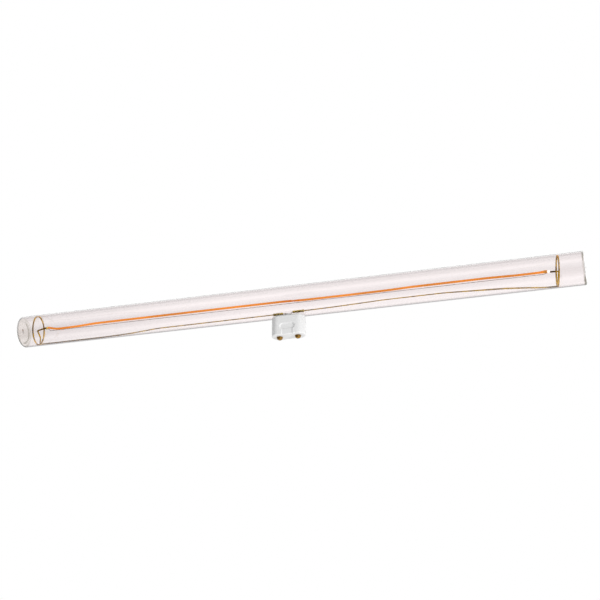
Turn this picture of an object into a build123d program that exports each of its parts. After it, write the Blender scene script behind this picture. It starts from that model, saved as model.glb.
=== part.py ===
from build123d import *
import os
from math import cos, radians, sin

# Linear filament lamp: a sealed clear glass tube carried at its middle by a two-contact base.
# Millimetres, +X along the tube, +Z up, the base pointing down.
# The origin is the centre of the base's bottom face, between the two contact studs.

# Glass tube
tube_length = 500.0
tube_diameter = 28.0
glass_wall = 0.7
end_wall = 0.8
end_dome = 0.3
end_corner = 1.6
end_inner_corner = 0.9
seal_nub_height = 0.3
seal_nub_radius = 1.6

# Base moulding
base_length = 29.6
base_width = 13.0
base_height = 17.0
base_wall = 1.6
base_floor = 2.2
base_bottom_edge = 0.7
tube_lift = 1.0
recess_length = 14.0
recess_height = 6.5
recess_centre_height = 7.3
recess_depth = 1.0
recess_draft = 50.0
recess_slot_width = 10.2
recess_slot_depth = 0.6

# Contact studs, riveted through the floor of the base
contact_spacing = 16.0
stud_diameter = 5.2
stud_rim = 0.4
stud_dome = 2.3
shank_diameter = 3.2
tail_diameter = 4.4
tail_height = 0.7

# Driver board and the parts on it
board_thickness = 1.0
board_margin = 0.3
board_underside_room = 3.3
board_rib_width = 3.0
board_rib_depth = 1.0
pin_diameter = 0.8
pin_offset = 1.2
solder_tail = 0.4
part_spacing = 0.3
rectifier_length = 4.6
rectifier_width = 3.8
rectifier_height = 1.5
regulator_length = 4.9
regulator_width = 3.9
regulator_height = 1.4
package_chamfer = 0.25
package_leg_width = 0.7
package_leg_length = 0.6
package_leg_thickness = 0.25
package_leg_pitch = 2.5
fuse_diameter = 1.4
fuse_length = 3.5
fuse_cap_length = 0.6
fuse_cap_step = 0.1
capacitor_length = 3.2
capacitor_width = 1.6
capacitor_height = 1.6
capacitor_edge = 0.2
side_part_offset = 4.4

# Glass stem: neck, flare, flat press and the drawn-off exhaust tube
neck_margin = 0.3
neck_wall = 0.9
rim_height = 0.6
flare_wall = 0.8
flare_gap = 0.2
flare_taper = 0.6
press_margin = 0.5
press_thickness = 2.4
press_corner = 0.8
press_shoulder = 2.5
press_height = 5.9
press_rise = 1.7
exhaust_diameter = 2.8
exhaust_tip_round = 0.8
exhaust_drop = 2.1
exhaust_tip_room = 1.4

# Cement between base and glass
cement_depth = 3.0
cement_lip = 1.6
cement_inset = 2.2

# Wires
wire_diameter = 0.9
lead_bend = 1.0
lead_gap = 0.2
lead_rise_left = 0.1
lead_rise_right = 0.9
sleeve_diameter = 1.75
sleeve_standoff_left = 2.3
sleeve_standoff_right = 0.3
sleeve_length_left = 8.5
sleeve_length_right = 10.1
butt_gap = 0.4
exit_run = 4.0
run_bend = 40.0

# Spring rings that hold the support wires against the inside of the glass
ring_inset_left = 15.8
ring_inset_right = 22.8
ring_lean_left = -2.7
ring_lean_right = 6.2
ring_clearance = 0.12
ring_foot_angle = 26.0
ring_gap_angle = 14.0
ring_bend_reach = 1.5
wall_run_left = 62.0
wall_run_right = 8.0

# Arm from the end of the ring to the axis, and hook from there to the filament's tab
arm_bow_back = 6.5
arm_bow_drop = 4.5
arm_bow_bend = 3.0
hook_bend = 0.6
hook_setback = 1.0
hook_drop_left = 0.0
hook_drop_right = 0.35
hook_height_left = 1.7
hook_height_right = 0.1
hook_length_left = 7.1
hook_length_right = 6.1

# Filament strip, its end tabs and the fine straight wire that carries it
filament_height = 1.8
filament_width = 1.4
filament_edge = 0.45
filament_rise_left = 0.2
filament_rise_right = 0.7
filament_dip = 0.35
filament_bend = 25.0
filament_trim = 0.4
tab_length = 2.4
tab_thickness = 0.5
tab_margin = 0.05
tab_edge = 0.15
carrier_diameter = 0.4
carrier_gap = 0.1
carrier_end_gap = 0.4
carrier_stub = 0.8
carrier_leg = 1.6
carrier_bend = 0.6

# Clearances
glass_gap = 0.03
cement_gap = 0.05
stud_gap = 0.05
wire_gap = 0.04
board_gap = 0.1

# Slack of the support wires between sleeve and ring:
# share of the run, offset to the back, height above the inside of the glass
slack = {
    "left": [(0.48, 1.2, 3.0), (0.59, 2.6, 1.9)],
    "right": [(0.13, 0.1, 4.0), (0.32, 0.3, 5.3), (0.56, 0.4, 5.5), (0.80, 2.0, 4.0), (0.89, 3.2, 2.8)],
}

# Slack of the filament: share of its length, height above the tube's axis
filament_slack = [
    (0.018, -filament_dip),
    (0.067, -0.05),
    (0.103, 0.85),
    (0.305, 0.95),
    (0.498, 0.92),
    (0.534, 0.25),
    (0.619, 0.15),
    (0.705, 0.35),
    (0.745, 0.90),
    (0.893, 0.95),
    (0.943, 0.40),
    (0.985, 0.45),
]

# Places worked out from the sizes above
tube_radius = tube_diameter / 2
bore_radius = tube_radius - glass_wall
axis_height = base_height + tube_lift + tube_radius
glass_floor = axis_height - bore_radius
end_face = tube_length / 2 - seal_nub_height
end_shoulder = end_face - end_dome
tube_axis = Axis((0, 0, axis_height), (1, 0, 0))

cavity_length = base_length - 2 * base_wall
cavity_width = base_width - 2 * base_wall
contact_x = contact_spacing / 2
tail_top = base_floor + tail_height
board_bottom = tail_top + board_underside_room
board_top = board_bottom + board_thickness

exhaust_tip = board_top + exhaust_tip_room
neck_bottom = exhaust_tip + exhaust_drop
neck_radius = cavity_width / 2 - neck_margin
neck_bore = neck_radius - neck_wall
press_top = glass_floor + press_rise
press_bottom = press_top - press_height
press_width = 2 * (neck_bore - press_margin)

wire_radius = wire_diameter / 2
lead_x = exhaust_diameter / 2 + wire_radius + lead_gap
ring_radius = bore_radius - wire_radius - ring_clearance
carrier_radius = carrier_diameter / 2

# Values that differ between the two halves of the lamp
sides = ("left", "right")
side_sign = {"left": -1, "right": 1}
lead_z = {
    "left": press_top + lead_bend + lead_rise_left,
    "right": press_top + lead_bend + lead_rise_right,
}
sleeve_start = {
    "left": lead_x + lead_bend + sleeve_standoff_left,
    "right": lead_x + lead_bend + sleeve_standoff_right,
}
sleeve_length = {"left": sleeve_length_left, "right": sleeve_length_right}
ring_x = {
    "left": tube_length / 2 - ring_inset_left,
    "right": tube_length / 2 - ring_inset_right,
}
ring_lean = {"left": radians(ring_lean_left), "right": radians(ring_lean_right)}
wall_run = {"left": wall_run_left, "right": wall_run_right}
hook_drop = {"left": hook_drop_left, "right": hook_drop_right}
hook_z = {"left": axis_height + hook_height_left, "right": axis_height + hook_height_right}
filament_rise = {"left": filament_rise_left, "right": filament_rise_right}
filament_end_z = {side: hook_z[side] + filament_rise[side] for side in sides}
carrier_drop = filament_height / 2 + carrier_radius
carrier_end_z = {side: filament_end_z[side] - carrier_drop - carrier_end_gap for side in sides}
hook_length = {"left": hook_length_left, "right": hook_length_right}
carrier_z = axis_height - filament_dip - carrier_drop - carrier_gap
filament_end = {side: ring_x[side] - hook_length[side] - tab_length for side in sides}

pieces = {}


def round_wire(path, radius):
    """A round wire: a circle carried along a path of straight runs and tangent arcs."""
    with BuildPart() as wire:
        with BuildSketch(Plane(origin=path @ 0, z_dir=path % 0)):
            Circle(radius)
        sweep(path=path)
    return wire.part


def across(side, back, up):
    """A step in the plane of a spring ring, whose top leans outward by the ring's lean."""
    lean = ring_lean[side]
    return Vector(side_sign[side] * up * sin(lean), back, up * cos(lean))


def on_ring(side, angle):
    """A point of a spring ring; the angle runs from the bottom towards the back."""
    centre = Vector(side_sign[side] * ring_x[side], 0, axis_height)
    return centre + across(side, ring_radius * sin(radians(angle)), -ring_radius * cos(radians(angle)))


def ring_heading(side, angle):
    """The way a ring runs on from an angle, when it goes round by the bottom and the front."""
    return across(side, -cos(radians(angle)), -sin(radians(angle)))


# Glass tube: a revolved wall with low domed flame-sealed ends, a seal nub on each, and a hole for the stem
with BuildPart() as glass_envelope:
    with BuildSketch(Plane.XZ):
        with BuildLine():
            nub_foot = axis_height + seal_nub_radius
            tube_top = axis_height + tube_radius
            for sign in (-1, 1):
                nub_tip = (sign * tube_length / 2, axis_height)
                TangentArc(nub_tip, (sign * end_face, nub_foot), tangent=(0, 1))
                TangentArc((sign * end_face, nub_foot), (sign * end_shoulder, tube_top), tangent=(0, 1))
            Line((-end_shoulder, tube_top), (end_shoulder, tube_top))
            Line((tube_length / 2, axis_height), (-tube_length / 2, axis_height))
        make_face()
        fillet(vertices().group_by(Axis.Y)[-1], radius=end_corner)
    revolve(axis=tube_axis)
    with BuildSketch(Plane.XZ):
        with Locations((0, axis_height + bore_radius / 2)):
            Rectangle(2 * (end_shoulder - end_wall), bore_radius)
        fillet(vertices().group_by(Axis.Y)[-1], radius=end_inner_corner)
    revolve(axis=tube_axis, mode=Mode.SUBTRACT)
    with Locations((0, 0, axis_height)):
        Cylinder(
            neck_radius + glass_gap,
            2 * tube_radius,
            align=(Align.CENTER, Align.CENTER, Align.MAX),
            mode=Mode.SUBTRACT,
        )
pieces["glass_envelope"] = glass_envelope.part

# Glass stem: the neck ends flush with the inside of the tube, and the flare rises inside it to a flat press
flare_foot = neck_bore - flare_gap
flare_top = flare_foot - flare_taper
with BuildPart() as glass_stem:
    with BuildSketch(Plane.XY.offset(neck_bottom)):
        Circle(neck_radius)
        Circle(neck_bore, mode=Mode.SUBTRACT)
    extrude(amount=axis_height - neck_bottom)
    with Locations((0, 0, axis_height)):
        Cylinder(bore_radius, 4 * neck_radius, rotation=(0, 90, 0), mode=Mode.SUBTRACT)
    with BuildSketch(Plane.XZ):
        with BuildLine():
            Polyline(
                (flare_foot - flare_wall, neck_bottom - rim_height),
                (neck_radius, neck_bottom - rim_height),
                (neck_radius, neck_bottom),
                (flare_foot, neck_bottom),
                (flare_top, press_bottom),
                (flare_top - flare_wall, press_bottom),
                close=True,
            )
        make_face()
    revolve(axis=Axis.Z)
    with BuildSketch(Plane.XY.offset(press_bottom)):
        Circle(flare_top)
    with BuildSketch(Plane.XY.offset(press_bottom + press_shoulder)) as press_section:
        RectangleRounded(press_width, press_thickness, press_corner)
    loft()
    add(press_section.sketch)
    extrude(amount=press_height - press_shoulder)
    with BuildSketch(Plane.XY.offset(exhaust_tip)):
        Circle(exhaust_diameter / 2)
    extrude(amount=press_bottom - exhaust_tip)
    fillet(faces().sort_by(Axis.Z)[0].edges(), radius=exhaust_tip_round)
    with BuildSketch(Plane.XY.offset(neck_bottom - rim_height)):
        with GridLocations(2 * lead_x, 0, 2, 1):
            Circle(wire_radius + wire_gap)
    extrude(amount=axis_height - neck_bottom, mode=Mode.SUBTRACT)
pieces["glass_stem"] = glass_stem.part

# Base: a hollow obround moulding with a latch recess on both broad faces
with BuildPart() as base_shell:
    with BuildSketch():
        SlotOverall(base_length, base_width)
    extrude(amount=base_height)
    fillet(faces().sort_by(Axis.Z)[0].edges(), radius=base_bottom_edge)
    with BuildSketch(Plane.XY.offset(base_floor)):
        SlotOverall(cavity_length, cavity_width)
    extrude(amount=base_height - base_floor, mode=Mode.SUBTRACT)
    rib_root = (base_wall - recess_depth) / 2
    with BuildSketch(Plane.XY.offset(base_floor)):
        with GridLocations(0, cavity_width - board_rib_depth + rib_root, 1, 2):
            Rectangle(board_rib_width, board_rib_depth + rib_root)
    extrude(amount=board_bottom - base_floor)
    slot_drop = 2 * recess_slot_depth
    for sign in (-1, 1):
        broad_face = Plane.XZ.offset(sign * base_width / 2)
        with BuildSketch(broad_face):
            with Locations((0, recess_centre_height)):
                SlotOverall(recess_length, recess_height)
        extrude(amount=-sign * recess_depth, taper=recess_draft, mode=Mode.SUBTRACT)
        with BuildSketch(broad_face):
            with Locations((0, (recess_centre_height - slot_drop) / 2)):
                Rectangle(recess_slot_width, recess_centre_height + slot_drop)
        extrude(amount=-sign * recess_slot_depth, taper=recess_draft, mode=Mode.SUBTRACT)
    with Locations((0, 0, base_floor)):
        with GridLocations(contact_spacing, 0, 2, 1):
            Hole(shank_diameter / 2 + stud_gap, depth=base_floor)
pieces["base_shell"] = base_shell.part

# Cement: a plug round the neck, with a lip between the base's top and the tube
with BuildPart() as base_cement:
    with BuildSketch(Plane.XY.offset(base_height - cement_depth)):
        SlotOverall(cavity_length - 2 * cement_gap, cavity_width - 2 * cement_gap)
    extrude(amount=cement_depth)
    with BuildSketch(Plane.XY.offset(base_height)):
        SlotOverall(base_length - 2 * cement_inset, base_width - 2 * cement_inset)
    extrude(amount=cement_lip)
    with Locations((0, 0, axis_height)):
        Cylinder(tube_radius + cement_gap, 2 * base_length, rotation=(0, 90, 0), mode=Mode.SUBTRACT)
        Cylinder(neck_radius + cement_gap, 2 * axis_height, mode=Mode.SUBTRACT)
pieces["base_cement"] = base_cement.part

# Driver board, resting on the ribs of the base, with holes for the leads and the supply pins
with BuildPart() as driver_board:
    with BuildSketch(Plane.XY.offset(board_bottom)):
        SlotOverall(cavity_length - 2 * board_margin, cavity_width - 2 * board_margin)
        with GridLocations(2 * lead_x, 0, 2, 1):
            Circle(wire_radius + board_gap, mode=Mode.SUBTRACT)
        with Locations((0, pin_offset)):
            with GridLocations(contact_spacing, 0, 2, 1):
                Circle(pin_diameter / 2 + board_gap, mode=Mode.SUBTRACT)
    extrude(amount=board_thickness)
pieces["driver_board"] = driver_board.part


def chip_package(x, length, width, height):
    """A moulded chip on the board beside a supply pin, with two pairs of flat legs."""
    y = pin_offset - pin_diameter / 2 - part_spacing - width / 2
    with BuildPart() as package:
        with BuildSketch(Plane.XY.offset(board_top)):
            with Locations((x, y)):
                Rectangle(length, width)
        extrude(amount=height)
        chamfer(faces().sort_by(Axis.Z)[-1].edges(), length=package_chamfer)
        with BuildSketch(Plane.XY.offset(board_top)):
            with Locations((x, y)):
                with GridLocations(0, package_leg_pitch, 1, 2):
                    Rectangle(length + 2 * package_leg_length, package_leg_width)
        extrude(amount=package_leg_thickness)
    return package.part


pieces["bridge_rectifier"] = chip_package(contact_x, rectifier_length, rectifier_width, rectifier_height)
pieces["current_regulator"] = chip_package(-contact_x, regulator_length, regulator_width, regulator_height)

# Fuse resistor: a lacquered barrel with two end caps, soldered flat under the board
with BuildPart() as fuse_resistor:
    with Locations((side_part_offset, 0, board_bottom - fuse_diameter / 2)):
        Cylinder(fuse_diameter / 2 - fuse_cap_step, fuse_length, rotation=(90, 0, 0))
        with GridLocations(0, fuse_length - fuse_cap_length, 1, 2):
            Cylinder(fuse_diameter / 2, fuse_cap_length, rotation=(90, 0, 0))
pieces["fuse_resistor"] = fuse_resistor.part

# Chip capacitor under the board
with BuildPart() as capacitor:
    with BuildSketch(Plane.XY.offset(board_bottom)):
        with Locations((-side_part_offset, 0)):
            Rectangle(capacitor_width, capacitor_length)
    extrude(amount=-capacitor_height)
    fillet(edges().filter_by(Axis.Z), radius=capacitor_edge)
pieces["capacitor"] = capacitor.part

for side in sides:
    sign = side_sign[side]
    outward = Vector(sign, 0, 0)

    # Contact stud: a domed head under the base, a shank through its floor and a riveted tail
    with BuildPart() as contact_stud:
        with BuildSketch(Plane.XZ.move(Location((sign * contact_x, 0, 0)))):
            with BuildLine():
                TangentArc((0, -stud_rim - stud_dome), (stud_diameter / 2, -stud_rim), tangent=(1, 0))
                Polyline(
                    (stud_diameter / 2, -stud_rim),
                    (stud_diameter / 2, 0),
                    (shank_diameter / 2, 0),
                    (shank_diameter / 2, base_floor),
                    (tail_diameter / 2, base_floor),
                    (tail_diameter / 2, tail_top),
                    (0, tail_top),
                    (0, -stud_rim - stud_dome),
                )
            make_face()
        revolve(axis=Axis((sign * contact_x, 0, 0), (0, 0, 1)))
    pieces[f"contact_stud_{side}"] = contact_stud.part

    # Supply pin: from the stud's tail up through the board
    with BuildPart() as supply_pin:
        with BuildSketch(Plane.XY.offset(tail_top)):
            with Locations((sign * contact_x, pin_offset)):
                Circle(pin_diameter / 2)
        extrude(amount=board_top + solder_tail - tail_top)
    pieces[f"supply_pin_{side}"] = supply_pin.part

    # Lead-in wire: from the board up through the press, then outward into its crimp sleeve
    sleeve_middle = sleeve_start[side] + sleeve_length[side] / 2
    with BuildLine() as lead_path:
        FilletPolyline(
            (sign * lead_x, 0, board_bottom - solder_tail),
            (sign * lead_x, 0, lead_z[side]),
            (sign * (sleeve_middle - butt_gap / 2), 0, lead_z[side]),
            radius=lead_bend,
        )
    pieces[f"lead_in_{side}"] = round_wire(lead_path.wires()[0], wire_radius)

    # Crimp sleeve: a short tube in which the lead-in and the support wire meet end to end
    with BuildPart() as crimp_sleeve:
        sleeve_plane = Plane(origin=(sign * sleeve_start[side], 0, lead_z[side]), z_dir=outward)
        with BuildSketch(sleeve_plane):
            Circle(sleeve_diameter / 2)
            Circle(wire_radius + wire_gap, mode=Mode.SUBTRACT)
        extrude(amount=sleeve_length[side])
    pieces[f"crimp_sleeve_{side}"] = crimp_sleeve.part

    # Support wire: a slack run down to the glass, one turn of spring ring, a bowed arm and a hook
    sleeve_end = sleeve_start[side] + sleeve_length[side]
    run_length = ring_x[side] - sleeve_end
    turn_end = ring_foot_angle + ring_gap_angle - 360
    ring_start, ring_end = on_ring(side, ring_foot_angle), on_ring(side, turn_end)
    foot = ring_start - ring_heading(side, ring_foot_angle) * ring_bend_reach
    arm_corner = ring_end + ring_heading(side, turn_end) * ring_bend_reach
    ring_centre = Vector(sign * ring_x[side], 0, axis_height)
    arm_bow = ring_centre + across(side, arm_bow_back, -arm_bow_drop)
    arm_top = ring_centre + Vector(sign * hook_setback, 0, -hook_drop[side])
    arm_start = arm_corner + (arm_bow - arm_corner).normalized() * ring_bend_reach
    arm_middle = (arm_bow + arm_top) / 2
    with BuildLine() as support_path:
        FilletPolyline(
            (sign * (sleeve_middle + butt_gap / 2), 0, lead_z[side]),
            (sign * (sleeve_end + exit_run), 0, lead_z[side]),
            *[(sign * (sleeve_end + share * run_length), back, glass_floor + height)
              for share, back, height in slack[side]],
            foot - outward * wall_run[side],
            foot - outward * ring_bend_reach,
            radius=run_bend,
        )
        TangentArc(foot - outward * ring_bend_reach, ring_start, tangent=outward)
        ThreePointArc(ring_start, on_ring(side, (ring_foot_angle + turn_end) / 2), ring_end)
        TangentArc(ring_end, arm_start, tangent=ring_heading(side, turn_end))
        FilletPolyline(arm_start, arm_bow, arm_middle, radius=arm_bow_bend)
        FilletPolyline(
            arm_middle,
            arm_top,
            (sign * (ring_x[side] - hook_length[side]), 0, hook_z[side]),
            radius=hook_bend,
        )
    pieces[f"support_wire_{side}"] = round_wire(support_path.wires()[0], wire_radius)

    # End tab: a small flat plate that joins the hook to the filament and the carrier wire
    tab_bottom = carrier_end_z[side] - carrier_radius - tab_margin
    tab_top = filament_end_z[side] + filament_height / 2 + tab_margin
    with BuildPart() as filament_tab:
        with BuildSketch(Plane.XZ):
            with Locations((sign * (filament_end[side] + tab_length / 2), (tab_bottom + tab_top) / 2)):
                RectangleRounded(tab_length, tab_top - tab_bottom, tab_edge)
        extrude(amount=tab_thickness / 2, both=True)
    pieces[f"filament_tab_{side}"] = filament_tab.part

# Filament: a chamfered strip that waves a little about the tube's axis, trimmed flush with the tabs
filament_start = -filament_end["left"]
filament_length = filament_end["right"] - filament_start
with BuildLine() as filament_path:
    FilletPolyline(
        (filament_start - filament_trim, 0, filament_end_z["left"]),
        *[(filament_start + share * filament_length, 0, axis_height + height)
          for share, height in filament_slack],
        (filament_start + filament_length + filament_trim, 0, filament_end_z["right"]),
        radius=filament_bend,
    )
with BuildPart() as led_filament:
    slack_line = filament_path.wires()[0]
    with BuildSketch(Plane(origin=slack_line @ 0, x_dir=(0, 1, 0), z_dir=slack_line % 0)):
        Rectangle(filament_width, filament_height)
        chamfer(vertices(), length=filament_edge)
    sweep(path=slack_line)
    split(bisect_by=Plane.YZ.offset(filament_start), keep=Keep.TOP)
    split(bisect_by=Plane.YZ.offset(filament_start + filament_length), keep=Keep.BOTTOM)
pieces["led_filament"] = led_filament.part

# Carrier wire: stretched straight under the filament, with its ends cranked up to the tabs
with BuildLine() as carrier_path:
    FilletPolyline(
        (-filament_end["left"], 0, carrier_end_z["left"]),
        (-filament_end["left"] + carrier_stub, 0, carrier_end_z["left"]),
        (-filament_end["left"] + carrier_stub + carrier_leg, 0, carrier_z),
        (filament_end["right"] - carrier_stub - carrier_leg, 0, carrier_z),
        (filament_end["right"] - carrier_stub, 0, carrier_end_z["right"]),
        (filament_end["right"], 0, carrier_end_z["right"]),
        radius=carrier_bend,
    )
pieces["filament_carrier"] = round_wire(carrier_path.wires()[0], carrier_radius)

os.makedirs("parts", exist_ok=True)
for name, piece in pieces.items():
    piece.label = name
    export_step(piece, f"parts/{name}.step")
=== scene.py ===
from math import cos, pi, radians, sin

import bmesh
import bpy
import numpy as np
from bpy.props import FloatProperty, FloatVectorProperty, PointerProperty
from mathutils import Matrix, Vector


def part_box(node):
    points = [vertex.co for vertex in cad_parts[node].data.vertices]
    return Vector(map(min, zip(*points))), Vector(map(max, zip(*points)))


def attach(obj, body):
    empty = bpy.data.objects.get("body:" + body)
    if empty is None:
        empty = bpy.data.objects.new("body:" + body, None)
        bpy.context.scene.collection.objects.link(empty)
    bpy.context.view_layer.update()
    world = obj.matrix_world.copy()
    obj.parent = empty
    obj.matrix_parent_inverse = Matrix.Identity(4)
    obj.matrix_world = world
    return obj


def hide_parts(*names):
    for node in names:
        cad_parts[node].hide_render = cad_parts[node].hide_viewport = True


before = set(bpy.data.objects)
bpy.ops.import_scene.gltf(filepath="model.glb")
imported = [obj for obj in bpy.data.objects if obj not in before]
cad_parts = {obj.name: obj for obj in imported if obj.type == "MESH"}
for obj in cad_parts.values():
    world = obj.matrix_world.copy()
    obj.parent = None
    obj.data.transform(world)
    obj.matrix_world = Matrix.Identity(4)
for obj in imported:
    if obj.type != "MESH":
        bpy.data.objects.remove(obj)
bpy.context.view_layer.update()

bl_info = {
    "name": "Linear Filament Lamp",
    "version": (1, 0, 0),
    "blender": (4, 5, 0),
    "location": "3D View > Sidebar > Lamp",
    "description": "Dresses a clear glass tube lamp with its filament, wires, stem and white base",
    "category": "Object",
}

MM = 0.001
BODY = "root"
SIDES = {"left": -1.0, "right": 1.0}


def mm(*values):
    """Millimetres as metres."""
    return tuple(value * MM for value in values)


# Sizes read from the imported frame, in metres
glass_low, glass_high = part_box("glass_envelope")
tube_radius = (glass_high.z - glass_low.z) / 2
tube_half = (glass_high.x - glass_low.x) / 2
axis_height = (glass_high.z + glass_low.z) / 2
base_half, base_radius, base_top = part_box("base_shell")[1]
stud_low, stud_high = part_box("contact_stud_right")
stud_centre = (stud_low.x + stud_high.x) / 2
neck_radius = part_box("glass_stem")[1].x
wire_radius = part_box("lead_in_right")[1].y
carrier_low, carrier_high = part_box("filament_carrier")
filament_low, filament_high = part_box("led_filament")

# How far the strip and its wire stay inside the tabs, and the cement clear of the glass
tab_margin = 0.05 * MM
cement_gap = 0.05 * MM

# Slack of the support wires: share of the run, offset to the back, height above the inside of the glass (mm)
SUPPORT_SLACK = {
    "left": [(0.48, 1.2, 3.0), (0.59, 2.6, 1.9)],
    "right": [(0.13, 0.1, 4.0), (0.32, 0.3, 5.3), (0.56, 0.4, 5.5), (0.80, 2.0, 4.0), (0.89, 3.2, 2.8)],
}

# The rest of the support wires: run along the glass, place, lean and turn of the ring, drop and height of the hook
WALL_RUN = {"left": 62 * MM, "right": 8 * MM}
RING_X = {"left": 234.2 * MM, "right": 227.2 * MM}
RING_LEAN = {"left": radians(-2.7), "right": radians(6.2)}
RING_TURN = {"left": radians(-3.8), "right": 0.0}
HOOK_DROP = {"left": 0.0, "right": 0.35 * MM}
HOOK_HEIGHT = {"left": 1.7 * MM, "right": 0.1 * MM}

# Slack of the filament: share of its length, height above the tube's axis (mm)
FILAMENT_SLACK = [(0.018, -0.35), (0.067, -0.05), (0.103, 0.85), (0.305, 0.95), (0.498, 0.92),
                  (0.534, 0.25), (0.619, 0.15), (0.705, 0.35), (0.745, 0.90), (0.893, 0.95), (0.943, 0.40),
                  (0.985, 0.45)]

# Zones that colour the ends of the glass, each from none to full: along the tube, out from its axis, back and up
END_ZONE = (tube_half - 3.0 * MM, tube_half - 1.6 * MM)
END_FACE = (tube_half - 0.9 * MM, tube_half - 0.7 * MM)
# Painted shade: a dark line round the back of the left end, where the edge of its inner corner shows through the glass
SHADE_LINE_INSIDE = mm(8.6, 9.4)
SHADE_LINE_OUTSIDE = mm(10.6, 11.2)
SHADE_LINE_BACK = mm(-2.0, 5.0)
# Painted shade: olive dark at the corners of the ends, where the glass is seen edge on: at the top and bottom of the
# right end, low on the left end
CORNER_RIM = mm(11.6, 12.8)
CORNER_TOP = mm(10.5, 12.5)
CORNER_BOTTOM = mm(-12.5, -10.5)
LEFT_BOTTOM = mm(-10.0, -3.0)
# Painted shade: the dark spot at the seal nub, by distance from its middle
NUB_DARK = mm(1.0, 1.7)

# Zones along the strip: where it twists over, and its scorched end; edge of a chip as a share of their spacing
TURN_STARTS = mm(-9.0, -4.0)
TURN_ENDS = mm(8.0, 13.0)
SCORCHED = (filament_high.x - 3.4 * MM, filament_high.x - 2.2 * MM)
CHIP_EDGE = (0.22, 0.36)


def length(name, description, millimetres):
    """A size, given in mm."""
    return FloatProperty(name=name, description=description, default=millimetres * MM, min=0.0, unit="LENGTH",
                         precision=5)


def share(name, description, default):
    """A plain factor between 0 and 1."""
    return FloatProperty(name=name, description=description, default=default, min=0.0, max=1.0, subtype="FACTOR")


def times(name, description, default):
    """A factor of 1 or more."""
    return FloatProperty(name=name, description=description, default=default, min=1.0)


def tilt(name, description, degrees):
    """An angle, given in degrees."""
    return FloatProperty(name=name, description=description, default=radians(degrees), subtype="ANGLE")


def colour(name, description, default):
    """A linear colour."""
    return FloatVectorProperty(name=name, description=description, default=default, size=3, min=0.0, max=1.0,
                               subtype="COLOR")


class LampGlassSettings(bpy.types.PropertyGroup):
    """Sizes, tint and painted shade of the tube and the stem."""

    wall: length("Wall", "Thickness of the tube's wall", 0.7)
    end_wall: length("End wall", "Thickness of the sealed left end", 0.8)
    right_end_wall: length("Right end wall", "Thickness of the sealed right end", 0.4)
    inner_corner: length("Inner corner", "Inner radius where the right end meets the tube", 1.2)
    dome: length("Dome", "How far the end bulges from its edge to its middle", 0.3)
    corner: length("Corner", "Outer radius where the right end meets the tube", 1.6)
    left_corner: length("Left corner", "Outer radius where the softer left end meets the tube", 2.7)
    nub_height: length("Nub height", "How far the seal nub stands out of the end", 0.3)
    nub_radius: length("Nub radius", "Radius of the seal nub at its foot", 1.6)
    nub_rise: length("Nub rise", "How far above the axis the dark of the nub sits", 1.4)
    nub_front: length("Nub front", "How far in front of the axis the dark of the nub sits", 1.5)
    draw_lines: length("Draw lines", "Depth of the drawn streaks inside the tube", 0.012)
    tint: colour("Tint", "Colour of light that has crossed one wall", (0.965, 0.922, 0.922))
    end_tint: colour("End tint", "Colour of light that has crossed the greyer sealed end", (0.80, 0.77, 0.73))
    # Painted shade: colour of the grey band at the edge of the right end
    band_painted_shade: colour("Band tint", "Colour of light that has crossed the edge of the right end", (0.80, 0.765, 0.745))
    # Painted shade: colour of the dark spot at the seal nub
    nub_painted_shade: colour("Nub tint", "Colour of light that has crossed the dark of a nub", (0.06, 0.025, 0.008))
    # Painted shade: colour of the dark line at the back of the left end and of the olive shade at the corners
    painted_shade_tint: colour("Seam tint", "Colour of light that has crossed the seam of an end", (0.38, 0.36, 0.30))


class LampWireSettings(bpy.types.PropertyGroup):
    """Bends and colours of the wires."""

    ring_clearance: length("Ring clearance", "Gap between spring ring and glass", 0.05)
    swell: times("Swell", "How much thicker the spring rings are drawn", 1.4)
    run_swell: times("Run swell", "How much thicker the wires are drawn where they lie on the glass", 1.65)
    sleeve_swell: times("Sleeve swell", "How much thicker the sleeves are drawn", 1.2)
    sleeve: colour("Sleeve", "Colour of the crimp sleeves", (0.68, 0.52, 0.12))
    foot_angle: tilt("Foot angle", "Where the wire meets its ring, from the bottom to the back", 26.0)
    gap_angle: tilt("Gap angle", "Opening between the ring's foot and its arm", 14.0)
    bend: length("Bend", "Reach of the bends at the ring", 1.5)
    bow_back: length("Bow back", "How far back of the axis the arm bows", 6.5)
    bow_drop: length("Bow drop", "How far below the axis the arm bows", 4.5)
    hook_bend: length("Hook bend", "Reach of the bend at the axis", 0.7)
    hook_setback: length("Hook setback", "How far outside its ring the hook starts", 1.0)
    brass: colour("Brass", "Colour of the bare wire", (0.62, 0.38, 0.005))
    tarnish: colour("Tarnish", "Colour of the tarnish on the wire", (0.26, 0.145, 0.003))
    burnt: colour("Burnt", "Colour of the right wire where it was heated", (0.12, 0.065, 0.002))
    browned: colour("Browned", "Colour of the left wire where it lies on the glass", (0.18, 0.09, 0.001))


class LampFilamentSettings(bpy.types.PropertyGroup):
    """Section and colours of the filament strip."""

    width: length("Width", "Width of the strip", 1.4)
    height: length("Height", "Height of the strip", 1.8)
    chip_pitch: length("Chip pitch", "Spacing of the chips under the coat", 2.1)
    chip_swell: length("Chip swell", "How much the coat swells over a chip", 0.04)
    coat: colour("Coat", "Colour of the amber coat", (0.92, 0.29, 0.03))
    chip: colour("Chip", "Colour of the coat over a chip", (0.97, 0.38, 0.05))
    # Darker and redder along the stretch where the strip twists over
    turned: colour("Turned", "Colour of the coat where the strip shows its back", (0.68, 0.19, 0.016))
    scorch: colour("Scorch", "Colour of the coat at its scorched end", (0.60, 0.25, 0.04))
    flare: share("Flare", "How much thicker the strip is at its right end", 0.35)
    # Painted glow: strength of the light that the coat gives off in its own colours, which brightens it
    painted_glow: share("Glow", "Fluorescence of the coat under room light", 0.60)


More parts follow.
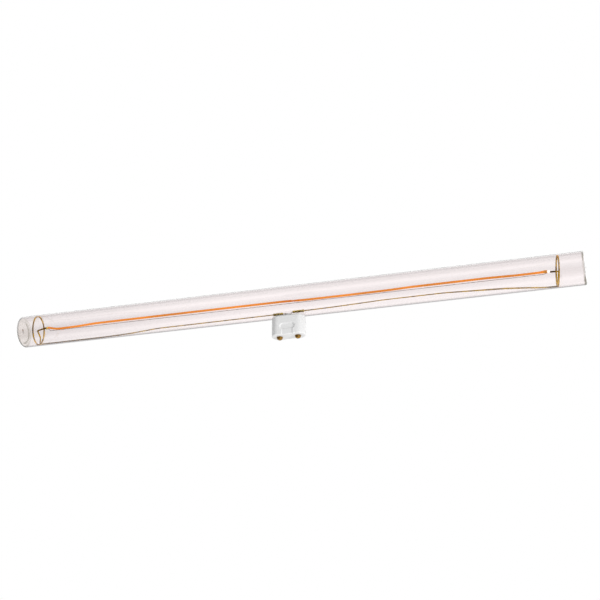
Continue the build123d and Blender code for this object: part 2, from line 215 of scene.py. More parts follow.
class LampBaseSettings(bpy.types.PropertyGroup):
    """Form and colours of the base and its contacts."""

    wall: length("Wall", "Wall of the moulding", 1.6)
    floor: length("Floor", "Floor of the moulding", 2.2)
    bottom_edge: length("Bottom edge", "Rounding of the bottom edge", 0.7)
    top_edge: length("Top edge", "Rounding of the top edge", 0.4)
    recess_half: length("Recess half length", "Half length of the latch recess", 7.0)
    recess_radius: length("Recess radius", "Half height of the latch recess", 3.25)
    recess_height: length("Recess height", "Height of the recess's middle above the bottom", 7.3)
    recess_depth: length("Recess depth", "Depth of the latch recess", 1.0)
    recess_draft: tilt("Recess draft", "Lean of the recess's walls from upright", 50.0)
    slot_depth: length("Slot depth", "Depth of the slot below the recess", 0.6)
    slot_half: length("Slot half width", "Half width of the slot below the recess", 5.1)
    plastic: colour("Plastic", "Colour of the moulding", (0.81, 0.81, 0.81))
    contact: colour("Contact", "Colour of the contact studs", (0.30, 0.165, 0.04))


class LampStageSettings(bpy.types.PropertyGroup):
    """Camera and light."""

    azimuth: tilt("Azimuth", "Camera's turn round the lamp", 15.475)
    elevation: tilt("Elevation", "Camera's height above the horizon", -24.503)
    distance: length("Distance", "Camera to the middle of the tube", 1110.9)
    aim_right: length("Aim right", "How far right of the tube's middle the camera aims", 9.39)
    aim_up: length("Aim up", "How far above the tube's middle the camera aims", 1.62)
    lens: FloatProperty(name="Lens", description="Focal length on a 36 mm sensor", default=77.88, unit="CAMERA")
    ambient: share("Ambient", "Level of the room's own light", 0.66)
    softbox: FloatProperty(name="Softbox", description="Level of the bands that the glass reflects", default=1.45,
                           min=0.0)


# Shader building


class Wire:
    """A shader socket that can be used in sums; each operation adds a Math node."""

    def __init__(self, finish, socket):
        self.finish = finish
        self.socket = socket

    def math(self, operation, other=0.0):
        return self.finish.node("Math", {"operation": operation}, {0: self, 1: other})

    def __add__(self, other):
        return self.math("ADD", other)

    def __sub__(self, other):
        return self.math("SUBTRACT", other)

    def __rsub__(self, other):
        return self.finish.node("Math", {"operation": "SUBTRACT"}, {0: other, 1: self})

    def __mul__(self, other):
        return self.math("MULTIPLY", other)

    __radd__ = __add__
    __rmul__ = __mul__


class Finish:
    """A material made of nodes round one Principled shader."""

    @classmethod
    def of_tree(cls, tree):
        """Node building in a tree that is already there."""
        made = cls.__new__(cls)
        made.tree = tree
        return made

    def __init__(self, name, **constants):
        self.material = bpy.data.materials.new(name)
        self.material.use_nodes = True
        self.tree = self.material.node_tree
        self.shader = self.tree.nodes["Principled BSDF"]
        for socket, value in constants.items():
            self.shader.inputs[socket.replace("_", " ")].default_value = value

    def node(self, kind, settings=None, links=None, out=0):
        """Any node: its settings are set first, then the values or links of its sockets."""
        made = self.tree.nodes.new("ShaderNode" + kind)
        for key, value in (settings or {}).items():
            if key == "stops":
                stops = made.color_ramp.elements
                while len(stops) < len(value):
                    stops.new(1.0)
                for element, (place, tone) in zip(stops, value):
                    element.position = place
                    element.color = (*tone, 1.0)
            else:
                setattr(made, key, value)
        for key, value in (links or {}).items():
            if isinstance(value, Wire):
                self.tree.links.new(value.socket, made.inputs[key])
            else:
                made.inputs[key].default_value = value
        return Wire(self, made.outputs[out])

    def place(self, scale=(1.0, 1.0, 1.0), centre=(0.0, 0.0, 0.0)):
        """Object coordinates, moved to a centre and then stretched."""
        raw = self.node("TexCoord", out=3)
        moved = self.node("VectorMath", {"operation": "SUBTRACT"}, {0: raw, 1: centre})
        return self.node("VectorMath", {"operation": "MULTIPLY"}, {0: moved, 1: scale})

    def distance(self, vector, scale):
        """Length of a vector whose coordinates are stretched first."""
        kept = self.node("VectorMath", {"operation": "MULTIPLY"}, {0: vector, 1: scale})
        return self.node("VectorMath", {"operation": "LENGTH"}, {0: kept}, 1)

    def part(self, vector, axis):
        """One coordinate of a vector."""
        return self.node("SeparateXYZ", None, {0: vector}, axis)

    def noise(self, stretch, scale, detail):
        """Noise in stretched object coordinates."""
        return self.node("TexNoise", None, {"Vector": self.place(stretch), "Scale": scale, "Detail": detail})

    def blend(self, factor, first, second):
        """A colour between two colours."""
        first = first if isinstance(first, Wire) else (*first, 1.0)
        second = second if isinstance(second, Wire) else (*second, 1.0)
        return self.node("Mix", {"data_type": "RGBA"}, {0: factor, 6: first, 7: second}, out=2)

    def between(self, factor, first, second):
        """A level between two levels."""
        return self.node("Mix", {"data_type": "FLOAT"}, {0: factor, 2: first, 3: second})

    def ramp(self, factor, table, start, end):
        """A level from a table of angles and levels; the factor is 0 at the start angle and 1 at the end."""
        stops = [((angle - start) / (end - start), (level,) * 3) for angle, level in table]
        return self.node("ValToRGB", {"stops": stops}, {0: factor})

    def steps(self, factor, low, high):
        """0 below low, 1 above high, smooth between."""
        return self.node("MapRange", {"interpolation_type": "SMOOTHSTEP"}, {0: factor, 1: low, 2: high})

    def feed(self, **sockets):
        """Links what varies over the surface to the shader."""
        for socket, value in sockets.items():
            self.tree.links.new(value.socket, self.shader.inputs[socket.replace("_", " ")])
        return self.material

    def bump(self, height, distance, strength=1.0):
        """A normal tilted by a height."""
        return self.node("Bump", None, {"Height": height, "Distance": distance, "Strength": strength})


def shaded(tone, level):
    """A colour with every channel times a level."""
    return tuple(level * value for value in tone)


def clear_glass(name, glass):
    """Drawn glass: a faint tint with streaks along the tube. The left end is greyer, with painted shade as a dark line
    at its back and as olive at its lower corner. The right end has a painted grey band and painted olive shade at its
    corners, and both have a painted dark spot at the seal nub."""
    made = Finish(name, Transmission_Weight=1.0, IOR=1.47)
    streaks = made.noise((1.5, 160.0, 160.0), 4.0, 4.0)
    clean = made.noise((14.0, 60.0, 60.0), 2.0, 2.0)
    pale = tuple(1.0 - 0.8 * (1.0 - tone) for tone in glass.tint)
    drawn = made.blend(made.steps(streaks, 0.3, 0.7), glass.tint, pale)
    spot = made.place(centre=(0.0, 0.0, axis_height))
    along, back, up = (made.part(spot, axis) for axis in range(3))
    rim = made.distance(spot, (0.0, 1.0, 1.0))
    ends = {side: made.steps(sign * along, *END_ZONE) for side, sign in SIDES.items()}
    # Painted shade: a dark line round the back of the end, at the edge of its inner corner
    line = made.steps(rim, *SHADE_LINE_INSIDE) * (1.0 - made.steps(rim, *SHADE_LINE_OUTSIDE)) * made.steps(back, *SHADE_LINE_BACK)
    # Painted shade: olive dark at the corners, low on the left end and at the top and bottom of the right end
    corner = made.steps(rim, *CORNER_RIM)
    low = corner * (1.0 - made.steps(up, *LEFT_BOTTOM))
    tips = corner * (made.steps(up, *CORNER_TOP) + 1.0 - made.steps(up, *CORNER_BOTTOM))
    # Painted shade: a dark spot on the end faces, in front of and above the nub's middle
    sealed = made.place(centre=(0.0, -glass.nub_front, axis_height + glass.nub_rise))
    nub = 1.0 - made.steps(made.distance(sealed, (0.0, 1.0, 1.0)), *NUB_DARK)
    nub = nub * made.steps(made.distance(spot, (1.0, 0.0, 0.0)), *END_FACE)
    left = made.blend(nub, made.blend(line + low, glass.end_tint, glass.painted_shade_tint), glass.nub_painted_shade)
    # Painted shade: the right end is the grey band, with olive corners and the nub's dark spot
    right = made.blend(nub, made.blend(tips, glass.band_painted_shade, glass.painted_shade_tint), glass.nub_painted_shade)
    return made.feed(
        Base_Color=made.blend(ends["right"], made.blend(ends["left"], drawn, left), right),
        Roughness=0.010 * made.steps(clean, 0.55, 0.8),
        Normal=made.bump(streaks, 0.00002, 0.06),
    )


def stem_glass(name):
    """Pressed glass: a little seedy and rippled from the pinch, and partly milky white, a painted highlight for the
    light the press catches.
    """
    # Painted highlight: less than half of the light passes clear, so that the press shows white
    made = Finish(name, Transmission_Weight=0.45, IOR=1.5)
    ripple = made.noise((300.0, 300.0, 500.0), 2.0, 3.0)
    return made.feed(
        Base_Color=made.blend(ripple, (0.93, 0.95, 0.94), (0.98, 0.99, 0.985)),
        Roughness=0.02 + 0.05 * ripple,
        Normal=made.bump(ripple, 0.0002, 0.5),
    )


def drawn_wire(name, bare, tarnish, burnt=None, heated=(1.0, 1.1, 1.2, 1.3)):
    """Drawn wire: bare metal with patches of tarnish and fine die marks, burnt dark along a heated stretch of x.
    The stretch lies beyond the part unless one is given."""
    made = Finish(name, Metallic=1.0, Specular_Tint=(*(min(1.0, 1.5 * tone) for tone in bare), 1.0))
    patches = made.noise((90.0, 120.0, 120.0), 1.5, 4.0)
    marks = made.noise((200.0, 6000.0, 6000.0), 1.0, 2.0)
    along = made.part(made.place(), 0)
    heat = made.steps(along, *heated[:2]) * (1.0 - made.steps(along, *heated[2:]))
    worn = made.blend(made.steps(patches, 0.40, 0.60), bare, tarnish)
    return made.feed(
        Base_Color=made.blend(heat, worn, burnt or tarnish),
        Roughness=0.26 + 0.22 * patches,
        Normal=made.bump(marks, 0.00003, 0.4),
    )


def amber_coat(name, settings):
    """Satin silicone coat: amber with fine grain, a little paler over each chip, redder along the stretch where the
    strip twists over and scorched brown at its right end. A painted glow in the same colours brightens it."""
    made = Finish(name, IOR=1.41, Emission_Strength=settings.painted_glow)
    along = made.part(made.place(), 0)
    chips = made.steps((along * (1.0 / settings.chip_pitch)).math("PINGPONG", 0.5), *CHIP_EDGE)
    grain = made.noise((900.0, 900.0, 900.0), 2.0, 3.0)
    slow = made.noise((25.0, 25.0, 25.0), 1.0, 2.0)
    turned = made.steps(along, *TURN_STARTS) * (1.0 - made.steps(along, *TURN_ENDS))
    scorched = made.steps(along, *SCORCHED)
    body = made.blend(made.steps(slow, 0.35, 0.65), settings.coat, shaded(settings.coat, 0.72))
    body = made.blend(turned, body, settings.turned)
    body = made.blend(scorched, body, settings.scorch)
    return made.feed(
        Base_Color=made.blend(0.55 * chips * (1.0 - scorched) * (1.0 - turned), body, settings.chip),
        # Painted glow in the coat's own colours
        Emission_Color=body,
        Roughness=0.42 + 0.16 * grain,
        Normal=made.bump(grain, 0.00005, 0.5),
    )


def moulded_white(name, tone):
    """Moulded plastic: near white, faint flow mottling and a fine satin skin."""
    made = Finish(name, IOR=1.5)
    flow = made.noise((60.0, 60.0, 140.0), 1.5, 4.0)
    skin = made.noise((1600.0, 1600.0, 1600.0), 1.0, 2.0)
    return made.feed(
        Base_Color=made.blend(flow, shaded(tone, 0.94), tone),
        Roughness=0.30 + 0.14 * flow,
        Normal=made.bump(skin, 0.00002, 0.35),
    )


def turned_brass(name, tone, centre):
    """Turned brass: rings of tool marks about the stud's own centre, darker where it has tarnished."""
    made = Finish(name, Metallic=1.0)
    radius = made.distance(made.place(centre=centre), (1.0, 1.0, 0.0))
    rings = (radius * 9000.0).math("SINE")
    stain = made.noise((220.0, 220.0, 220.0), 1.5, 4.0)
    return made.feed(
        Base_Color=made.blend(made.steps(stain, 0.45, 0.75), tone, shaded(tone, 0.45)),
        Roughness=0.24 + 0.2 * stain,
        Normal=made.bump(rings, 0.00002, 0.4),
    )


def plated_strip(name, tone, tarnish, painted_glint=0.0):
    """Stamped plated metal with brushed lines; a painted glint, an even white glow, stands for bright surroundings that
    it mirrors.
    """
    made = Finish(name, Metallic=1.0, Emission_Color=(1.0, 1.0, 1.0, 1.0), Emission_Strength=painted_glint)
    lines = made.noise((200.0, 200.0, 5000.0), 1.0, 3.0)
    return made.feed(
        Base_Color=made.blend(made.steps(lines, 0.35, 0.8), tone, tarnish),
        Roughness=0.25 + 0.25 * lines,
        Normal=made.bump(lines, 0.00003, 0.4),
    )


def solder_mask(name):
    """Circuit board: green mask over paler copper tracks, with a glossy skin."""
    made = Finish(name)
    tracks = made.node("TexWave", {"wave_type": "BANDS", "bands_direction": "Y"},
                       {"Vector": made.place((300.0, 300.0, 300.0)), "Scale": 0.7, "Distortion": 3.0}, out=1)
    copper = made.steps(tracks, 0.45, 0.55)
    return made.feed(
        Base_Color=made.blend(copper, (0.012, 0.075, 0.03), (0.03, 0.14, 0.05)),
        Roughness=0.25 + 0.2 * tracks,
        Normal=made.bump(copper, 0.00004),
    )


def grained(name, tone, level, roughness, fineness, noise, relief):
    """A flat colour broken by a grain that darkens it to a level, roughens it and stands out of it."""
    made = Finish(name)
    grain = made.noise((fineness,) * 3, *noise)
    return made.feed(
        Base_Color=made.blend(grain, shaded(tone, level), tone),
        Roughness=roughness[0] + roughness[1] * grain,
        Normal=made.bump(grain, *relief),
    )


def cured_paste(name, tone):
    """Cured cement: matt white with a grainy, smeared surface."""
    return grained(name, tone, 0.86, (0.7, 0.2), 700.0, (1.6, 5.0), (0.0002, 0.6))


def moulded_part(name, tone, roughness):
    """Small electronic part: a flat colour with fine grain."""
    return grained(name, tone, 0.75, (roughness, 0.15), 1200.0, (1.5, 3.0), (0.00004, 0.5))


# Surfaces

# Angle above which an edge is sharp; distances that weld points and drop slivers (m); first direction across a path
SHARP = radians(40.0)
WELD = 2e-7
SLIVER = 1e-8
ACROSS = (0.0, 1.0, 0.0)


def sheet(points, keep=None):
    """A grid of points with its faces, row by row; the last column joins the first. A mask leaves faces out."""
    rows, columns = points.shape[:2]
    index = np.arange(rows * columns).reshape(rows, columns)
    following = np.roll(index, -1, axis=1)
    faces = np.stack([index[:-1], following[:-1], following[1:], index[1:]], axis=-1)
    return points.reshape(-1, 3), faces.reshape(-1, 4) if keep is None else faces[keep]


def make_piece(name, sheets, material, nodes):
    """One closed mesh from grids whose edges meet: welded, turned outwards and smooth below the sharp angle."""
    starts = np.cumsum([0] + [len(points) for points, _ in sheets[:-1]])
    points = np.concatenate([points for points, _ in sheets])
    faces = np.concatenate([faces + start for (_, faces), start in zip(sheets, starts)])
    mesh = bpy.data.meshes.new(name)
    mesh.vertices.add(len(points))
    mesh.vertices.foreach_set("co", points.ravel())
    mesh.loops.add(faces.size)
    mesh.loops.foreach_set("vertex_index", faces.ravel())
    mesh.polygons.add(len(faces))
    mesh.polygons.foreach_set("loop_start", np.arange(0, faces.size, 4))
    mesh.update(calc_edges=True)
    work = bmesh.new()
    work.from_mesh(mesh)
    bmesh.ops.remove_doubles(work, verts=work.verts, dist=WELD)
    bmesh.ops.dissolve_degenerate(work, edges=work.edges, dist=SLIVER)
    bmesh.ops.delete(work, geom=[vert for vert in work.verts if not vert.link_faces], context="VERTS")
    bmesh.ops.recalc_face_normals(work, faces=work.faces)
    if work.calc_volume(signed=True) < 0.0:
        bmesh.ops.reverse_faces(work, faces=work.faces)
    work.to_mesh(mesh)
    work.free()
    mesh.shade_smooth()
    mesh.set_sharp_from_angle(angle=SHARP)
    mesh.materials.append(material)
    piece = bpy.data.objects.new(name, mesh)
    bpy.context.scene.collection.objects.link(piece)
    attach(piece, BODY)
    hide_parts(*nodes)


def arc(centre, radius, start, end, count):
    """Points of an arc in a plane: centre plus radius times the cosine and sine of an even run of angles."""
    angles = np.linspace(start, end, count)
    return np.stack([centre[0] + radius * np.cos(angles), centre[1] + radius * np.sin(angles)], axis=1)


def rounded_route(corners, reach, count=9):
    """A path through corners: each corner is a parabola that leaves one run and joins the next, tangent to both."""
    corners = np.asarray(corners, float)
    runs = np.linalg.norm(np.diff(corners, axis=0), axis=1)
    heading = np.diff(corners, axis=0) / runs[:, None]
    reach = np.minimum(reach, 0.48 * np.minimum(runs[:-1], runs[1:]))[:, None]
    first = corners[1:-1] - heading[:-1] * reach
    last = corners[1:-1] + heading[1:] * reach
    t = np.linspace(0.0, 1.0, count)[None, :, None]
    bends = (1 - t) ** 2 * first[:, None] + 2 * t * (1 - t) * corners[1:-1, None] + t**2 * last[:, None]
    return np.concatenate([corners[:1], bends.reshape(-1, 3), corners[-1:]])


def distinct(path, least):
    """A path without points that nearly repeat the one before."""
    moved = np.linalg.norm(np.diff(path, axis=0), axis=1) > least
    return path[np.concatenate([[True], moved])]


def frames(path):
    """Two unit vectors across a path at each point: the first starts near the y axis and keeps as near as it can to
    its last direction."""
    tangent = np.gradient(path, axis=0)
    tangent /= np.linalg.norm(tangent, axis=1)[:, None]
    first = np.empty_like(path)
    held = np.array(ACROSS)
    for place, ahead in enumerate(tangent):
        held = held - ahead * held.dot(ahead)
        held = held / np.linalg.norm(held)
        first[place] = held
    return first, np.cross(tangent, first)


def carried(path, section, twist=0.0, swell=1.0):
    """A closed profile carried along a path, with its ends closed to a point at their middle.
    Each ring is the path's point plus the section's two coordinates along the two directions across the path."""
    first, second = frames(path)
    twist = np.broadcast_to(twist, len(path))[:, None]
    swell = np.broadcast_to(swell, len(path))[:, None, None]
    wide = first * np.cos(twist) + second * np.sin(twist)
    high = second * np.cos(twist) - first * np.sin(twist)
    ring = path[:, None] + swell * (section[None, :, :1] * wide[:, None] + section[None, :, 1:] * high[:, None])
    start = np.broadcast_to(path[0], ring[:1].shape)
    end = np.broadcast_to(path[-1], ring[:1].shape)
    return sheet(np.concatenate([start, ring, end]))


def circle(radius, count):
    """A round section."""
    return arc((0.0, 0.0), radius, 0.0, 2 * pi * (1 - 1 / count), count)


def superellipse(half_width, half_height, power, count):
    """A rounded box section: a circle's coordinates raised to a power below one, with their signs kept."""
    unit = circle(1.0, count)
    return np.sign(unit) * np.abs(unit) ** power * (half_width, half_height)


def obround(half_straight, radius, round_count, straight_count):
    """A closed stadium outline with its outward directions: a half round, a straight, a half round, a straight."""
    angle = np.linspace(-pi / 2, pi / 2, round_count)
    run = np.linspace(half_straight, -half_straight, straight_count + 2)[1:-1]
    normal = np.concatenate([np.stack([np.cos(angle), np.sin(angle)], 1), np.tile((0.0, 1.0), (straight_count, 1))])
    middle = np.concatenate([np.full(round_count, half_straight), run])
    middle = np.stack([middle, np.zeros(len(middle))], 1)
    normal, middle = np.concatenate([normal, -normal]), np.concatenate([middle, -middle])
    return middle + radius * normal, normal


def tube_underside(across, radius):
    """Height of the lower side of a cylinder about the tube's axis, at a distance across it."""
    return axis_height - np.sqrt(np.maximum(radius**2 - across**2, 0.0))


def lifted(points, height):
    """Points in the plane with a height for each."""
    return np.concatenate([points, height[..., None]], axis=-1)


def eased(share):
    """A share from 0 to 1 that starts and ends gently: three squares less two cubes."""
    return share * share * (3 - 2 * share)


def spread(low, high):
    """The least and the greatest distance of a box's two ends from the middle, along x."""
    return sorted((abs(low.x), abs(high.x)))


# Pieces


def tube_profile(end, radius, dome, corner, nub_height, nub_radius):
    """Half a tube's outline, from the middle of an end to the start of the straight wall: x and radius.
    A raised nub falls off as a cosine, then come a parabolic dome and a quarter round."""
    nub = np.linspace(0.0, nub_radius, 8)
    raised = end + nub_height * (0.5 + 0.5 * np.cos(pi * nub / nub_radius))
    flat = np.linspace(nub_radius, radius - corner, 12)[1:-1]
    bulge = end - dome * ((flat - nub_radius) / (radius - nub_radius)) ** 2
    foot = end - dome * ((radius - corner - nub_radius) / (radius - nub_radius)) ** 2
    quarter = arc((foot - corner, radius - corner), corner, 0.0, pi / 2, 14)
    return np.concatenate([np.stack([raised, nub], 1), np.stack([bulge, flat], 1), quarter])


class LAMP_OT_glass_tube(bpy.types.Operator):
    """Build the clear tube: outer and inner walls of revolution that meet in the rim of the stem's hole"""

    bl_idname = "lamp.glass_tube"
    bl_label = "Glass Tube"

    # Points round the tube, and steps from the middle of its underside to the edge of the square with the hole
    COLUMNS = 96
    PATCH = 9

    # Streaks inside the tube: share of their depth, waves round the tube and phase
    STREAKS = [(1.0, 5, 0.6), (0.7, 11, 2.0), (0.5, 17, 0.0)]

    def wall(self, ends, radius, dome, corners, nub_height, nub_radius, ripple):
        """A wall of revolution as a grid: x and radius from the outline, turned about the tube's axis.
        Also the border of the square of faces at the middle of its underside, and which faces stay."""
        right, left = (tube_profile(end, radius, dome, corner, nub_height, nub_radius)
                       for end, corner in zip(ends, corners))
        patch_half = radius * sin(self.PATCH * 2 * pi / self.COLUMNS)
        side = np.linspace(right[-1, 0], patch_half, 22)[1:-1]
        other = np.linspace(-patch_half, -left[-1, 0], 22)[1:-1]
        run = np.concatenate([side, np.linspace(patch_half, -patch_half, 2 * self.PATCH + 1), other])
        profile = np.concatenate([right, np.stack([run, np.full(len(run), radius)], 1), left[::-1] * (-1.0, 1.0)])
        angle = np.arange(self.COLUMNS) * 2 * pi / self.COLUMNS
        streak = ripple * sum(part * np.sin(waves * angle + phase) for part, waves, phase in self.STREAKS)
        spread = profile[:, 1:] * (1.0 + streak / radius)
        points = np.stack([np.broadcast_to(profile[:, :1], spread.shape), spread * np.sin(angle),
                           axis_height - spread * np.cos(angle)], axis=-1)
        first = len(right) + len(side)
        last = first + 2 * self.PATCH
        columns = np.arange(-self.PATCH, self.PATCH + 1) % self.COLUMNS
        border = np.concatenate([points[first, columns[:-1]], points[first:last, columns[-1]],
                                 points[last, columns[:0:-1]], points[last:first:-1, columns[0]]])
        keep = np.ones((len(profile) - 1, self.COLUMNS), bool)
        keep[first:last, columns[:-1]] = False
        return points, border, keep

    def hole_patch(self, border, hole, radius):
        """Rings from a border on the wall to the circle of the hole, laid on the wall's cylinder."""
        bearing = np.arctan2(border[:, 1], border[:, 0])
        circle_xy = hole * np.stack([np.cos(bearing), np.sin(bearing)], 1)
        t = np.linspace(0.0, 1.0, 8)[:, None, None]
        flat = (1 - t) * border[None, :, :2] + t * circle_xy[None]
        height = tube_underside(flat[..., 1], radius)
        height[0] = border[:, 2]
        return lifted(flat, height)

    def execute(self, context):
        glass = context.scene.lamp_glass
        end = tube_half - glass.nub_height
        bore = tube_radius - glass.wall
        corners = glass.corner, glass.left_corner
        outer, outer_border, outer_keep = self.wall((end, end), tube_radius, glass.dome, corners, glass.nub_height,
                                                    glass.nub_radius, 0.0)
        ends = end - glass.dome - glass.right_end_wall, end - glass.dome - glass.end_wall
        corners = glass.inner_corner, glass.left_corner - glass.wall
        inner, inner_border, inner_keep = self.wall(ends, bore, 0.0, corners, 0.0, glass.nub_radius, glass.draw_lines)
        outer_patch = self.hole_patch(outer_border, neck_radius, tube_radius)
        inner_patch = self.hole_patch(inner_border, neck_radius, bore)
        rim = np.stack([outer_patch[-1], inner_patch[-1]])
        make_piece("clear_tube",
                   [sheet(outer, keep=outer_keep), sheet(inner, keep=inner_keep), sheet(outer_patch),
                    sheet(inner_patch), sheet(rim)],
                   clear_glass("drawn_clear_glass", glass), ["glass_envelope"])
        return {"FINISHED"}


class LAMP_OT_glass_stem(bpy.types.Operator):
    """Build the stem: one outline of rounded boxes and circles, from the press down the flare, the neck and the tip"""

    bl_idname = "lamp.glass_stem"
    bl_label = "Glass Stem"

    # Half width, half thickness, roundness (1 is an ellipse) and height of the press's rings, in mm, from its top
    PRESS = [
        (0.0, 0.0, 0.6, 20.40), (2.3, 0.7, 0.5, 20.40), (2.9, 1.0, 0.5, 20.30), (3.15, 1.17, 0.45, 20.05),
        (3.2, 1.2, 0.45, 19.7), (3.2, 1.2, 0.45, 18.4), (3.2, 1.2, 0.45, 17.2), (3.19, 1.28, 0.48, 16.8),
        (3.14, 1.55, 0.58, 16.2), (3.05, 2.05, 0.75, 15.5), (2.95, 2.55, 0.92, 14.9), (2.9, 2.85, 1.0, 14.5),
    ]

    # Radius and height of the round rings, in mm: down inside the neck and up to the tube, then down outside the neck,
    # over its foot, up round the exhaust tube and down to its tip
    FLARE = [(3.0, 13.8), (3.3, 12.0), (3.45, 11.0), (3.55, 10.75), (3.62, 10.75), (3.7, 10.9), (3.7, 14.0)]
    RETURN = [(4.6, 14.0), (4.6, 10.5), (4.5, 10.2), (4.2, 10.1), (3.0, 10.1), (2.7, 10.2), (2.6, 10.6), (2.2, 13.6),
              (2.0, 14.3), (1.6, 14.5), (1.4, 14.3), (1.4, 9.4), (1.3, 9.0), (1.05, 8.75), (0.6, 8.62), (0.0, 8.60)]

    def rings(self, table):
        """Each ring is a circle's cosine and sine raised to the roundness, scaled to its half sizes."""
        half_x, half_y, power, height = (np.array(table).T * np.array([[MM], [MM], [1.0], [MM]]))[:, :, None]
        unit = circle(1.0, 72)
        x = half_x * np.sign(unit[:, 0]) * np.abs(unit[:, 0]) ** power
        y = half_y * np.sign(unit[:, 1]) * np.abs(unit[:, 1]) ** power
        return np.stack([x, y, np.broadcast_to(height, x.shape)], axis=-1)

    def execute(self, context):
        bore = tube_radius - context.scene.lamp_glass.wall
        flare, back = ([(radius, radius, 1.0, height) for radius, height in table]
                       for table in (self.FLARE, self.RETURN))
        upper, lower = self.rings(self.PRESS + flare), self.rings(back)
        edge = np.stack([upper[-1], lower[0]])
        edge[..., 2] = tube_underside(edge[..., 1], bore)
        make_piece("pressed_stem", [sheet(np.concatenate([upper, edge, lower]))],
                   stem_glass("pressed_glass_painted_highlight"), ["glass_stem"])
        return {"FINISHED"}


class LAMP_OT_wires(bpy.types.Operator):
    """Build the lead-ins, crimp sleeves and support wires: round sections carried along bent routes"""

    bl_idname = "lamp.wires"
    bl_label = "Wires"

    # Where each support wire is burnt dark: x where it starts, is full, is still full and ends
    HEATED = {"left": mm(-232.0, -228.0, -170.0, -140.0), "right": mm(214.0, 221.0, 225.0, 226.2)}

    # Distance from the middle up to which the support wires keep their own thickness, and where the swell is full
    THIN = mm(100.0, 200.0)

    # Reach of the lead-in's bend, of the slack run's bends and of the bend in the arm
    LEAD_BEND, SLACK_BEND, BOW_BEND = mm(1.0, 4.0, 2.0)

    # Points round a ring and along a bend, and how far the runs at a ring reach past their bends, in bends
    RING_STEPS, BEND_STEPS, OVERRUN = 141, 13, 3.2

    # Sleeve: places and width of its pinches and run of its lip as shares of the length; how far a pinch pushes out
    # and in, lip and mouth as shares of the radius
    PINCHES, PINCH_WIDTH, LIP_RUN = (0.28, 0.72), 0.07, 0.03
    PINCH_OUT, PINCH_IN, LIP, MOUTH = 0.10, 0.26, 0.88, 0.56

    def lead_route(self, side):
        """Straight up through the press, then outward into the sleeve."""
        low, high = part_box("lead_in_" + side)
        inner, outer = spread(low, high)
        inner, outer = SIDES[side] * (inner + wire_radius), SIDES[side] * outer
        top = high.z - wire_radius
        return rounded_route([(inner, 0.0, low.z), (inner, 0.0, top), (outer, 0.0, top)], self.LEAD_BEND)

    def across(self, side, back, up):
        """Steps in the plane of a spring ring, which is turned about z and whose top leans outward:
        back along the turned y, up along the leaning height."""
        lean, turn = RING_LEAN[side], RING_TURN[side]
        return np.stack([SIDES[side] * up * sin(lean) + back * sin(turn), back * cos(turn), up * cos(lean)], axis=-1)

    def support_route(self, side, wires, bore):
        """Slack run to the glass, one turn of ring, a bowed arm to the axis and a hook back to the filament."""
        low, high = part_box("support_wire_" + side)
        sleeve_low, sleeve_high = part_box("crimp_sleeve_" + side)
        tab_low, tab_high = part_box("filament_tab_" + side)
        sign, ring_x = SIDES[side], RING_X[side]
        start, sleeve_end = spread(low, high)[0], spread(sleeve_low, sleeve_high)[1]
        level = (sleeve_low.z + sleeve_high.z) / 2
        radius = bore - wires.swell * wire_radius - wires.ring_clearance
        centre = np.array([sign * ring_x, 0.0, axis_height])
        outward = np.array([sign, 0.0, 0.0])
        angle = np.linspace(wires.foot_angle, wires.foot_angle + wires.gap_angle - 2 * pi, self.RING_STEPS)
        ring = centre + self.across(side, radius * np.sin(angle), -radius * np.cos(angle))
        heading = self.across(side, -np.cos(angle), -np.sin(angle))
        foot = ring[0] - heading[0] * wires.bend
        inward = (centre - foot) * (0.0, 1.0, 1.0)
        foot = foot + inward * (wires.run_swell - wires.swell) * wire_radius / np.linalg.norm(inward)
        corner = ring[-1] + heading[-1] * wires.bend
        bow = centre + self.across(side, np.array(wires.bow_back), np.array(-wires.bow_drop))
        top = centre + outward * wires.hook_setback - (0.0, 0.0, HOOK_DROP[side])
        hook_end = np.array([sign * spread(tab_low, tab_high)[1], 0.0, axis_height + HOOK_HEIGHT[side]])
        slack = np.array(SUPPORT_SLACK[side]) * (1.0, MM, MM)
        places = sleeve_end + slack[:, 0] * (ring_x - sleeve_end)
        slack = np.stack([sign * places, slack[:, 1], axis_height - bore + slack[:, 2]], axis=1)
        overrun = self.OVERRUN * wires.bend
        run = [(sign * start, 0.0, level), (sign * (sleeve_end + self.SLACK_BEND), 0.0, level), *slack,
               foot - outward * WALL_RUN[side], foot, foot + heading[0] * overrun]
        reach = np.full(len(run) - 2, self.SLACK_BEND)
        reach[-1] = wires.bend
        first = rounded_route(run, reach, self.BEND_STEPS)[:-1]
        last = rounded_route([corner - heading[-1] * overrun, corner, bow, top, hook_end],
                             np.array([wires.bend, self.BOW_BEND, wires.hook_bend]), self.BEND_STEPS)[1:]
        return distinct(np.concatenate([first, ring, last]), 0.02 * MM)

    def sleeve_sheet(self, side, swell):
        """A short tube whose section is pinched flat in two places: radius times one plus or minus the pinch."""
        low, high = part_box("crimp_sleeve_" + side)
        radius = swell * (high.z - low.z) / 2
        height = (high.z + low.z) / 2
        along = np.linspace(0.0, 1.0, 60)
        pinch = sum(np.exp(-(((along - place) / self.PINCH_WIDTH) ** 2)) for place in self.PINCHES)
        lip = self.LIP + (1.0 - self.LIP) * np.minimum(1.0, np.minimum(along, 1 - along) / self.LIP_RUN)
        x = np.pad(low.x + along * (high.x - low.x), 2, "edge")
        size = np.concatenate([[0.0, self.MOUTH], lip, [self.MOUTH, 0.0]]) * radius
        pinch = np.pad(pinch, 2)
        unit = circle(1.0, 32)
        y = (size * (1 + self.PINCH_OUT * pinch))[:, None] * unit[:, 0]
        z = height + (size * (1 - self.PINCH_IN * pinch))[:, None] * unit[:, 1]
        return sheet(np.stack([np.broadcast_to(x[:, None], y.shape), y, z], axis=-1))

